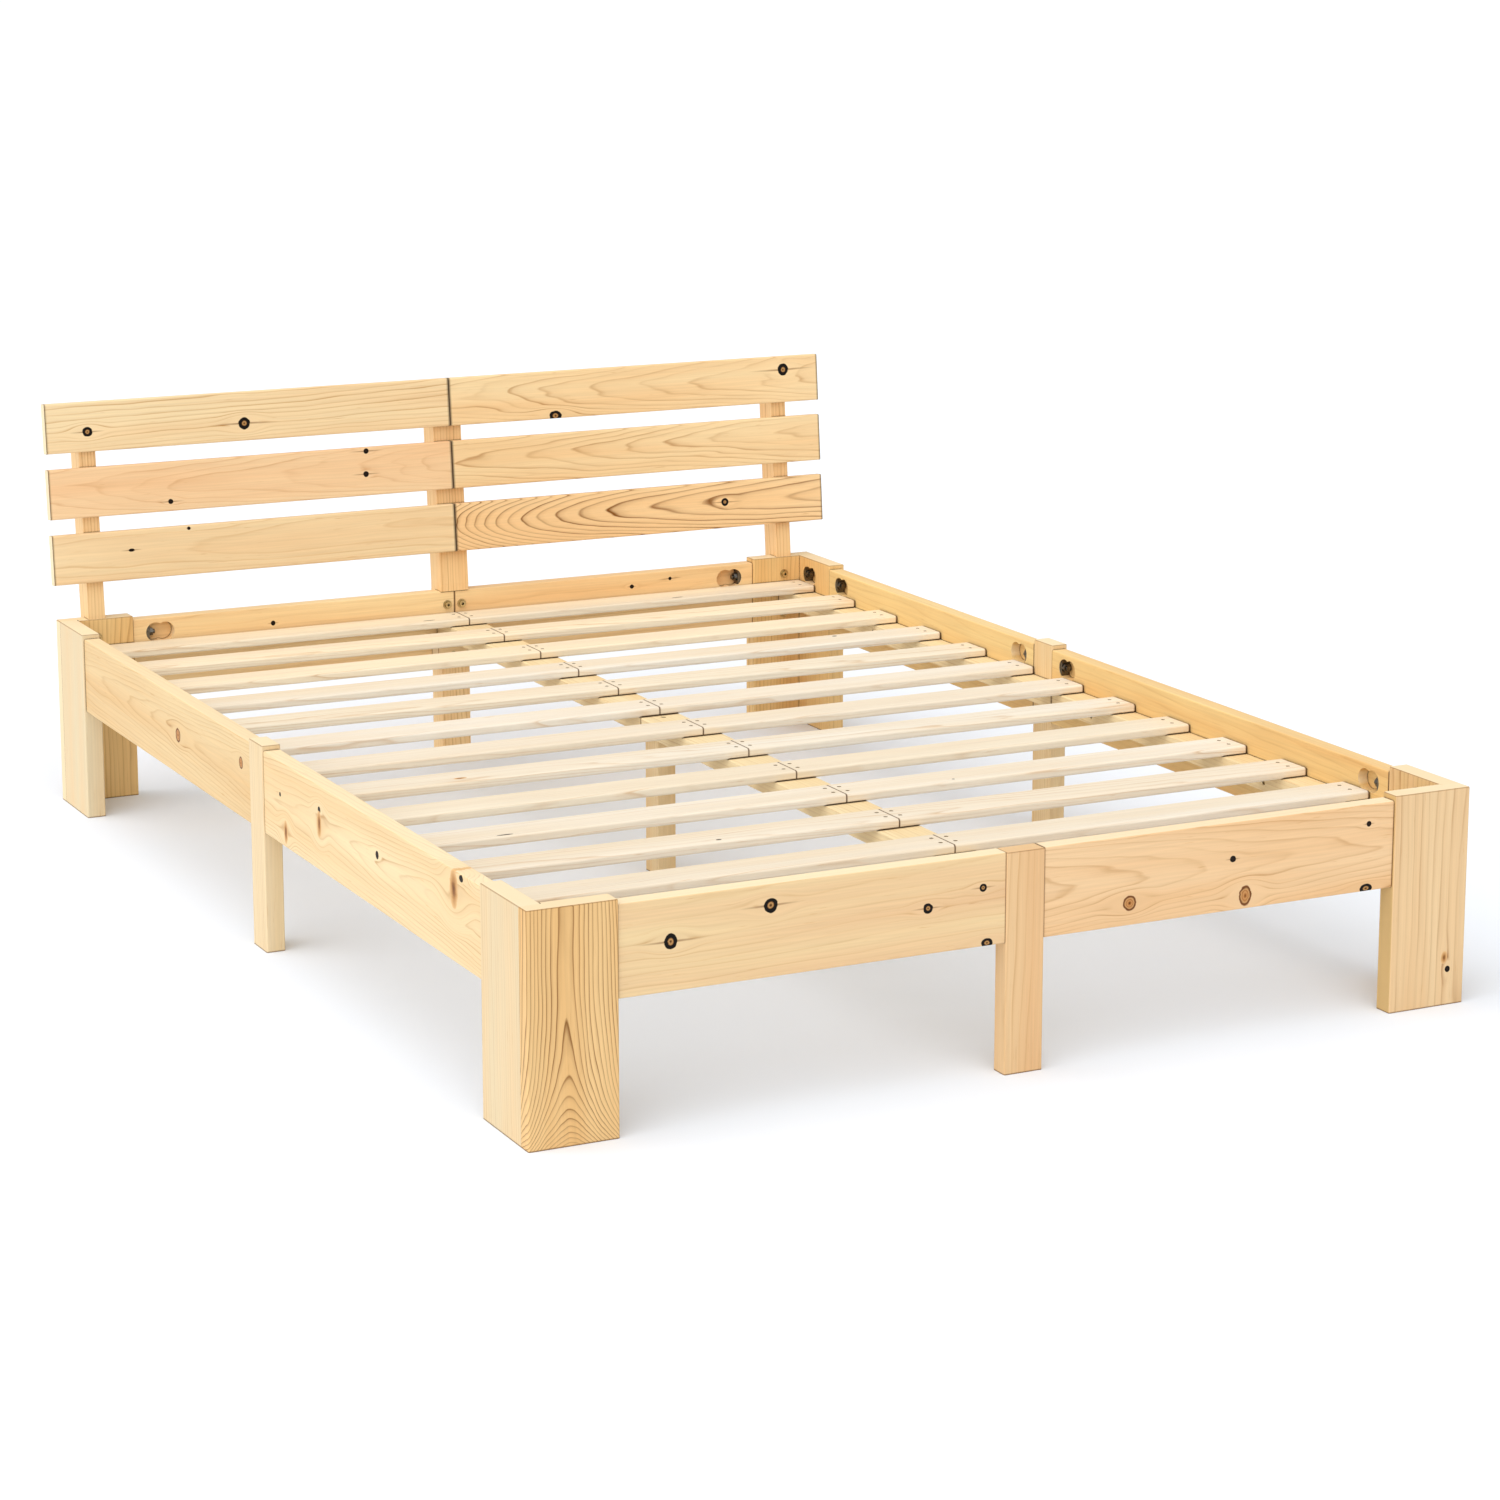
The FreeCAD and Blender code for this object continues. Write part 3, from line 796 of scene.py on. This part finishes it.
@dataclass(frozen=True)
class ZincFinish:
    """Zinc plating on steel: a soft-gloss metal with faint cloudy patches from the bath, and painted shade
    in its sockets and round its heads.
    """

    name: str
    bright: str
    dull: str
    joint_shade: str = "#2A1E14"
    cloud_mm: float = 3.0
    cloud_detail: float = 3.0
    joint_shade_mm: float = 5.0
    joint_shade_open: float = 0.85
    roughness: tuple[float, float] = (0.22, 0.46)

    def material(self) -> bpy.types.Material:
        """Make the plating's material, with clouds that change both its grey and its gloss.

        Returns:
            The material.
        """
        material, put = new_material(self.name)
        cloud = clouds(put, self.cloud_mm, self.cloud_detail)
        plated = {SHARE: cloud, UNDER: linear(self.bright), OVER: linear(self.dull)}
        grey = put("ShaderNodeMix", plated, MIXED, **RGB)
        # Painted shade in sockets and round the heads, darker the more closed in
        dark = painted_joint_shade(put, self.joint_shade_mm, self.joint_shade_open)
        shaded = {SHARE: dark, UNDER: grey, OVER: linear(self.joint_shade)}
        smooth, rough = self.roughness
        gloss = {"Value": cloud, "To Min": smooth, "To Max": rough}
        skin = {
            "Base Color": put("ShaderNodeMix", shaded, MIXED, **RGB),
            "Metallic": 1.0,
            "Roughness": put("ShaderNodeMapRange", gloss),
        }
        surface = put("ShaderNodeBsdfPrincipled", skin)
        put("ShaderNodeOutputMaterial", {"Surface": surface})
        return material


@dataclass(frozen=True)
class BeechFinish:
    """Turned beech of the dowels: an even pinkish tan with short darker ray flecks."""

    ground: str = "#DDB78C"
    fleck: str = "#B98A5E"
    fleck_mm: float = 1.5
    fleck_detail: float = 2.0
    fleck_span: tuple[float, float] = (0.55, 0.7)
    roughness: float = 0.6
    ior: float = 1.5

    def material(self) -> bpy.types.Material:
        """Make the dowels' material, with flecks where a noise is high.

        Returns:
            The material.
        """
        material, put = new_material("beech_turned")
        noise = clouds(put, self.fleck_mm, self.fleck_detail)
        low, high = self.fleck_span
        fleck = put("ShaderNodeMapRange", {"Value": noise, "From Min": low, "From Max": high})
        flecked = {SHARE: fleck, UNDER: linear(self.ground), OVER: linear(self.fleck)}
        wood = put("ShaderNodeMix", flecked, MIXED, **RGB)
        skin = {"Base Color": wood, "Roughness": self.roughness, "IOR": self.ior}
        surface = put("ShaderNodeBsdfPrincipled", skin)
        put("ShaderNodeOutputMaterial", {"Surface": surface})
        return material


@dataclass(frozen=True)
class FloorFinish:
    """Cool white matt studio floor: it lights the bed from below and keeps its shadow soft and pale."""

    white: str = "#EDF1F8"
    grey: str = "#EBF0F7"
    patch_mm: float = 400.0
    patch_detail: float = 2.0
    roughness: float = 0.9

    def material(self) -> bpy.types.Material:
        """Make the floor's material, with a faint unevenness of its paint.

        Returns:
            The material.
        """
        material, put = new_material("studio_floor_matt")
        patch = clouds(put, self.patch_mm, self.patch_detail)
        uneven = {SHARE: patch, UNDER: linear(self.white), OVER: linear(self.grey)}
        paint = put("ShaderNodeMix", uneven, MIXED, **RGB)
        surface = put("ShaderNodeBsdfPrincipled", {"Base Color": paint, "Roughness": self.roughness})
        put("ShaderNodeOutputMaterial", {"Surface": surface})
        return material


@dataclass(frozen=True)
class Board:
    """One board of the frame: its node, how it lies, its finish and how many pieces it has end to end."""

    node: str
    lie: Lie
    finish: PineFinish
    pieces: int = 1

    def dress(self, nodes: Nodes) -> None:
        """Put the board's own pine on its node.

        Args:
            nodes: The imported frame's nodes by name.
        """
        material = self.finish.material(self.node, self.lie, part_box(self.node), self.pieces)
        for slot in nodes[self.node].material_slots:
            slot.material = material
        LOG.info("dressed %s in %s pine", self.node, self.finish.sawn.name.lower())


class BoardGroup(ABC):
    """A sub-assembly that is made of boards."""

    @abstractmethod
    def boards(self) -> Iterator[Board]:
        """Give each board with its lie and finish."""

    def dress(self, nodes: Nodes) -> None:
        """Dress every board of the group.

        Args:
            nodes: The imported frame's nodes by name.
        """
        for board in self.boards():
            board.dress(nodes)


@dataclass
class CornerPosts(BoardGroup):
    """Four corner posts, each of two boards rabbeted into an L."""

    pale: PineFinish = PineFinish(
        early="#DDCCA9", late="#C49E69", blush="#E2C69B", sawn=Sawn.QUARTER, strength=0.75, ring_mm=7.0
    )
    flame: PineFinish = PineFinish(
        early="#E7C188",
        late="#764510",
        blush="#DDAE70",
        sawn=Sawn.FLAT,
        pith_shift=-16.0,
        strength=1.2,
        evenness=0.6,
        ring_mm=4.8,
        taper=0.012,
        wander_mm=16.0,
        flare_mm=42.0,
        flare_at=-162.0,
        flare_long=48.0,
    )
    honey: PineFinish = PineFinish(
        early="#EBC78A", late="#9C6426", blush="#E3B676", strength=0.75, ring_mm=6.5, taper=0.008
    )
    striped: PineFinish = replace(honey, early="#E5C89C", late="#97602A", blush="#DEB787", strength=0.95)

    def boards(self) -> Iterator[Board]:
        """Give the end boards of the posts, and then their side boards.

        Returns:
            Each board with its lie and finish.
        """
        knots = (Knot(-108, 36, 4.5, 1.0, KnotKind.PIN), Knot(-90, 29, 5.0, 1.8, KnotKind.SPIKE))
        calm = replace(self.striped, ring_mm=11.0, evenness=0.15, strength=0.6)
        ends = {
            "fl": replace(self.flame, seed=3),
            # Painted shade on the narrow faces of the front-right end board, painted light on those of the
            # rear-left
            "fr": replace(calm, seed=11, knots=knots, edge="#CBA970", edge_light_and_shade_share=0.9),
            "rl": replace(self.honey, seed=17, edge="#EBD9B4", edge_light_and_shade_share=0.85),
            "rr": replace(self.honey, seed=23),
        }
        sides = {
            "fl": replace(self.pale, seed=5),
            # The front-right side board is darker: painted shade
            "fr": replace(self.striped, seed=12, early="#D7B67E"),
            "rl": replace(self.pale, seed=19, strength=0.15),
            "rr": replace(self.honey, seed=29, strength=0.4),
        }
        for corner, finish in ends.items():
            yield Board(f"post_{corner}_end", Lie.POST_END, finish)
        for corner, finish in sides.items():
            yield Board(f"post_{corner}_side", Lie.POST_SIDE, finish)


@dataclass
class Rails(BoardGroup):
    """Eight rails between posts and middle legs, with the knots that each board shows."""

    # The rail tops are painted lighter, as light falls on them from above; some rails take less of it
    plain: PineFinish = PineFinish(
        early="#E7CD9D", late="#BC8C50", strength=0.4, ring_mm=8.0, edge_light_and_shade_share=0.6
    )
    arched: PineFinish = replace(
        plain, early="#E4CCA5", late="#B27E43", sawn=Sawn.FLAT, strength=0.6, ring_mm=5.5, taper=0.04
    )

    def boards(self) -> Iterator[Board]:
        """Give the rails across the front and rear, and then those along the sides.

        Returns:
            Each board with its lie, finish and knots.
        """
        live, pin, spike = KnotKind.LIVE, KnotKind.PIN, KnotKind.SPIKE
        front_left = (
            Knot(-68, 34, 9.5, tail=5.0),
            Knot(-214, 3, 9.0, tail=6.0),
            Knot(169, 1, 7.0, tail=4.0),
            Knot(254, 19, 5.5, tail=4.0),
            Knot(261, -60, 6.0, 1.4),
        )
        front_right = (
            Knot(-152, -31, 10.0, 1.0, live),
            Knot(39, -46, 14.0, 0.7, live),
            Knot(17, 11, 4.8, 1.0, pin, 3.0),
            Knot(247, 35, 3.8, 1.0, pin, 3.0),
            Knot(245, -60, 6.0, 1.7),
        )
        left_front = (
            Knot(358, 15, 3.5, 1.0, pin),
            Knot(336, -40, 17.0, 0.45, spike),
            Knot(189, 28, 5.0, 1.0, pin),
            Knot(190, 6, 20.0, 0.4, spike),
            Knot(-45, 16, 5.5, 1.0, pin, 2.0),
            Knot(-357, 59, 4.4, 1.5, pin),
            Knot(-330, 38, 27.0, 0.5, spike),
        )
        left_rear = (Knot(-77, 2, 11.0, 1.0, live), Knot(-386, 23, 9.0, 0.9, live))
        right_front = (Knot(120, 10, 8.0, tail=5.0),)
        right_rear = (Knot(-90, -18, 8.0, tail=5.0),)
        rear_left = (Knot(-45, 35, 4.0, 1.0, pin, 3.0),)
        rear_right = (Knot(52, 42, 4.0, 1.0, pin, 3.0), Knot(131, 50, 3.0, 1.0, pin, 9.0))
        rosy = replace(self.arched, early="#EAC89C", blush="#E3B785")
        cream = replace(self.arched, early="#EED5A8", blush="#E5C28F", edge_light_and_shade_share=0.4)
        tan = replace(self.arched, early="#E2C696", blush="#DDB680", edge_light_and_shade_share=0.4)
        yellow = replace(self.plain, early="#E6C78A", blush="#E0B374", edge_light_and_shade_share=0.1)
        honey = replace(yellow, early="#F5D8A3", blush="#EFC48C")
        across = {
            "front_left": replace(self.plain, seed=31, knots=front_left),
            "front_right": replace(rosy, seed=37, knots=front_right),
            "rear_left": replace(honey, seed=59, knots=rear_left),
            "rear_right": replace(honey, seed=61, knots=rear_right),
        }
        along = {
            "left_front": replace(cream, seed=41, knots=left_front),
            "left_rear": replace(tan, seed=43, knots=left_rear),
            "right_front": replace(yellow, seed=47, knots=right_front),
            "right_rear": replace(yellow, seed=53, knots=right_rear),
        }
        for place, finish in across.items():
            yield Board(f"rail_{place}", Lie.RAIL_ACROSS, finish)
        for place, finish in along.items():
            yield Board(f"rail_{place}", Lie.RAIL_ALONG, finish)


@dataclass
class MiddleLegs(BoardGroup):
    """Legs between the rail halves and under the beam, with the cleats that carry the beam."""

    plain: PineFinish = PineFinish(
        early="#E2BE8F", blush="#DDB180", sawn=Sawn.QUARTER, strength=0.6, ring_mm=7.0
    )

    def boards(self) -> Iterator[Board]:
        """Give the legs, and then the cleats.

        Returns:
            Each board with its lie and finish.
        """
        calm = replace(self.plain, end_grain="#DDB888", ring_mm=11.0, strength=0.45)
        cream = replace(self.plain, early="#E6D0AA", blush="#E2C799")
        yellow = replace(self.plain, early="#E8CDA0", blush="#E0BD89")
        yield Board("leg_front", Lie.POST_END, replace(calm, seed=67))
        yield Board("leg_left", Lie.POST_SIDE, replace(cream, seed=71))
        yield Board("leg_right", Lie.POST_SIDE, replace(yellow, seed=73))
        yield Board("leg_beam", Lie.POST_SIDE, replace(yellow, seed=79))
        yield Board("cleat_front", Lie.RAIL_ACROSS, replace(yellow, seed=83))
        yield Board("cleat_rear", Lie.RAIL_ACROSS, replace(yellow, seed=89))


@dataclass
class SlatDeck(BoardGroup):
    """Ledges, beam and thirteen rows of slats in two halves."""

    rows: int = 13
    halves: int = 2
    slat: PineFinish = PineFinish(late="#C29662", blush="#E4D4BA", strength=0.75, ring_mm=5.0)
    cuts: tuple[Sawn, ...] = (Sawn.QUARTER, Sawn.RIFT, Sawn.FLAT_OFF)
    tints: tuple[str, ...] = ("#E8DFCE", "#E8DCC5", "#EAE1D1", "#E7DBC7")
    rear_rows: int = 3
    rear_tint: str = "#F0DFC0"
    ledge: PineFinish = PineFinish(early="#E8D2A6", blush="#E3C491")
    slat_seed: int = 100
    slat_seed_step: int = 7
    ledge_seed: int = 211
    beam_seed: int = 241
    seed_step: int = 5

    def boards(self) -> Iterator[Board]:
        """Give the slat rows from head to foot, the ledges and the two halves of the beam.

        Returns:
            Each board with its lie, finish and knots.
        """
        pin = KnotKind.PIN
        knots = {
            # The two long dark marks on the first row are painted shade of the gap between that row and the
            # rear rail
            1: (Knot(-73, -20, 1.8, 6.0, pin), Knot(423, -22, 1.8, 6.0, pin)),
            4: (Knot(520, 20, 3.0, 1.4, pin),),
            8: (Knot(-475, -12, 4.0, 2.5, KnotKind.SPIKE),),
            10: (Knot(-545, -26, 2.0, 6.0, pin), Knot(188, -20, 2.2, 1.0, pin)),
            11: (Knot(-285, -24, 2.4, 1.6, pin),),
        }
        for row in range(1, self.rows + 1):
            finish = replace(
                self.slat,
                early=self.rear_tint if row <= self.rear_rows else self.tints[row % len(self.tints)],
                sawn=self.cuts[row % len(self.cuts)],
                knots=knots.get(row, ()),
                seed=self.slat_seed + self.slat_seed_step * row,
            )
            yield Board(f"slat_{row:02d}", Lie.SLAT, finish, self.halves)
        for number, part in enumerate(("left_front", "left_rear", "right_front", "right_rear")):
            finish = replace(self.ledge, seed=self.ledge_seed + self.seed_step * number)
            yield Board(f"ledge_{part}", Lie.RAIL_ALONG, finish)
        for number, part in enumerate(("front", "rear")):
            finish = replace(self.ledge, seed=self.beam_seed + self.seed_step * number)
            yield Board(f"beam_{part}", Lie.BEAM, finish)


@dataclass
class Headboard(BoardGroup):
    """Three pairs of leaning planks on three notched uprights."""

    # The painted shade beside the plank ends is near black, for the dark line where the planks meet
    pale: PineFinish = PineFinish(
        early="#EFD6A9", late="#C8975C", blush="#EBC594", end_shade="#1E1008", end_shade_mm=4.0, ring_mm=6.5
    )
    arched: PineFinish = replace(
        pale,
        early="#F2D5A4",
        late="#AA7031",
        blush="#ECC089",
        sawn=Sawn.FLAT,
        strength=0.75,
        ring_mm=4.2,
        taper=-0.04,
    )
    upright: PineFinish = PineFinish(
        early="#F7D59F", late="#AE7230", blush="#F1C287", strength=0.75, taper=0.005
    )
    upright_seed: int = 347
    upright_seed_step: int = 6

    def boards(self) -> Iterator[Board]:
        """Give the planks from the top down, and then the uprights.

        Returns:
            Each board with its lie, finish and knots.
        """
        pin = KnotKind.PIN
        top_left = (Knot(-301, -7, 8.5, tail=4.0), Knot(-15, -14, 10.0, tail=7.0))
        top_right = (Knot(303, 19, 10.5, tail=7.0), Knot(-168, -40, 9.5, 1.2))
        mid_left = (
            Knot(211, 38, 4.5, 1.0, pin, 8.0),
            Knot(209, -4, 5.0, 1.0, pin, 6.0),
            Knot(-158, -26, 4.5, 1.0, pin, 6.0),
        )
        low_left = (Knot(-128, 37, 3.0, 1.0, pin, 2.0), Knot(-234, 7, 2.6, 2.0, pin, 4.0))
        low_right = (Knot(170, 6, 7.0, tail=6.0),)
        lined = replace(self.pale, late="#BC8A4E", strength=0.95)
        blushing = replace(self.arched, early="#F0CEA1", late="#C78D58", blush="#ECBD8C", strength=0.55)
        wavy = replace(self.pale, sawn=Sawn.FLAT, taper=-0.012, strength=0.6)
        flared = replace(
            self.arched,
            early="#F5D3A0",
            late="#84501C",
            blush="#F2C48B",
            strength=1.2,
            evenness=0.45,
            eye_strength=1.2,
            ring_mm=4.3,
            taper=-0.012,
            wander_mm=10.0,
            flare_mm=-52.0,
            flare_at=-376.0,
            flare_long=210.0,
        )
        planks = {
            "top_left": replace(lined, seed=307, knots=top_left),
            "top_right": replace(self.arched, seed=311, knots=top_right),
            "mid_left": replace(blushing, seed=313, knots=mid_left),
            "mid_right": replace(self.arched, seed=317),
            "low_left": replace(wavy, seed=331, knots=low_left),
            "low_right": replace(flared, seed=337, knots=low_right),
        }
        for place, finish in planks.items():
            yield Board(f"plank_{place}", Lie.HEAD_PLANK, finish)
        for number, part in enumerate(("left", "centre", "right")):
            finish = replace(self.upright, seed=self.upright_seed + self.upright_seed_step * number)
            yield Board(f"upright_{part}", Lie.UPRIGHT, finish)


@dataclass
class Fastenings:
    """Bolts, washers, nuts and screws of plated steel, and the beech dowels."""

    grey_nodes: tuple[str, ...] = ("rail_bolts", "rail_washers", "rail_nuts")
    yellow_nodes: tuple[str, ...] = (
        "upright_bolts",
        "plank_screws",
        "ledge_screws",
        "beam_screws",
        "slat_screws",
    )
    dowel_nodes: tuple[str, ...] = ("rail_dowels",)
    grey_zinc: ZincFinish = ZincFinish("zinc_plated_steel", "#8C877E", "#4A4640")
    yellow_zinc: ZincFinish = ZincFinish("zinc_yellow_passivated_steel", "#E6D3A4", "#C3A874")
    beech: BeechFinish = BeechFinish()

    def dress(self, nodes: Nodes) -> None:
        """Put the plating on the steel and the beech on the dowels.

        Args:
            nodes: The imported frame's nodes by name.
        """
        finishes = {
            self.grey_nodes: self.grey_zinc,
            self.yellow_nodes: self.yellow_zinc,
            self.dowel_nodes: self.beech,
        }
        for names, finish in finishes.items():
            material = finish.material()
            for name in names:
                for slot in nodes[name].material_slots:
                    slot.material = material
                LOG.info("dressed %s in %s", name, material.name)


@dataclass
class Studio:
    """Pale floor, soft light and the camera."""

    camera_at: tuple[float, float, float] = (-2.5816, -5.4170, 1.6592)
    heading_deg: float = 26.434
    down_deg: float = 11.625
    lens_mm: float = 91.99
    sensor_mm: float = 36.0
    frame_drop: float = -0.08
    view_end: float = 200.0
    floor_half: float = 40.0
    floor_lines: int = 9
    floor_finish: FloorFinish = FloorFinish()
    sky: str = "#FFFFFF"
    sky_strength: float = 0.54
    key_from: tuple[float, float, float] = (-0.5, -0.3, 0.81)
    key_strength: float = 2.87
    key_width_deg: float = 100.0

    def build_floor(self) -> None:
        """Lay the floor: the flat surface (x, y, 0) over an even grid of x and y."""
        steps = np.linspace(-self.floor_half, self.floor_half, self.floor_lines)
        x, y = np.meshgrid(steps, steps, indexing="xy")
        points = np.stack([x, y, np.zeros_like(x)], axis=-1).reshape(-1, 3)
        count = self.floor_lines
        row, column = np.meshgrid(np.arange(count - 1), np.arange(count - 1), indexing="ij")
        corner = row * count + column
        faces = np.stack([corner, corner + 1, corner + count + 1, corner + count], axis=-1).reshape(-1, 4)
        mesh = bpy.data.meshes.new("studio_floor")
        mesh.from_pydata(points.tolist(), [], faces.tolist())
        mesh.materials.append(self.floor_finish.material())
        floor = bpy.data.objects.new("studio_floor", mesh)
        bpy.context.scene.collection.objects.link(floor)
        floor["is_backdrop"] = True
        LOG.info("laid the floor")

    def build_light(self) -> None:
        """Light the room evenly, with one very wide soft light from above on the left."""
        world = bpy.data.worlds.new("studio_world")
        world.use_nodes = True
        world.node_tree.nodes.clear()
        glow = {"Color": linear(self.sky), "Strength": self.sky_strength}
        sky = add(world.node_tree, "ShaderNodeBackground", glow)
        add(world.node_tree, "ShaderNodeOutputWorld", {"Surface": sky})
        bpy.context.scene.world = world
        lamp = bpy.data.lights.new("key_light", "SUN")
        lamp.energy = self.key_strength
        lamp.angle = math.radians(self.key_width_deg)
        light = bpy.data.objects.new("key_light", lamp)
        light.rotation_euler = (-Vector(self.key_from)).to_track_quat("-Z", "Y").to_euler()
        bpy.context.scene.collection.objects.link(light)
        LOG.info("set up the light")

    def build_camera(self) -> None:
        """Set the camera at the photograph's place and angle."""
        heading, down = math.radians(self.heading_deg), math.radians(self.down_deg)
        level = math.cos(down)
        forward = Vector((math.sin(heading) * level, math.cos(heading) * level, -math.sin(down)))
        lens = bpy.data.cameras.new("camera")
        lens.lens = self.lens_mm
        lens.sensor_width = self.sensor_mm
        lens.shift_y = self.frame_drop
        lens.clip_end = self.view_end
        camera = bpy.data.objects.new("camera", lens)
        camera.location = self.camera_at
        camera.rotation_euler = forward.to_track_quat("-Z", "Y").to_euler()
        bpy.context.scene.collection.objects.link(camera)
        bpy.context.scene.camera = camera
        bpy.context.scene.view_settings.view_transform = "Standard"
        LOG.info("set up the camera")

    def build(self) -> None:
        """Build the floor, the light and the camera."""
        self.build_floor()
        self.build_light()
        self.build_camera()


def write_sizes(frame_box: tuple[Vector, Vector]) -> None:
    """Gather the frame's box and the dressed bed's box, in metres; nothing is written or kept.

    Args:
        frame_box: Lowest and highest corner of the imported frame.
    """
    boxes = {"cad": frame_box, "visual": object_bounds()}
    {name: [list(corner) for corner in box] for name, box in boxes.items()}


def main() -> None:
    """Load the frame, dress the bed part by part and set up the studio."""
    logging.basicConfig(level=logging.INFO, format="%(name)s: %(message)s")
    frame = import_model()
    frame_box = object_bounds()
    nodes = frame["nodes"]
    for group in (CornerPosts(), Rails(), MiddleLegs(), SlatDeck(), Headboard(), Fastenings()):
        group.dress(nodes)
    Studio().build()
    write_sizes(frame_box)


if __name__ == "__main__":
    main()
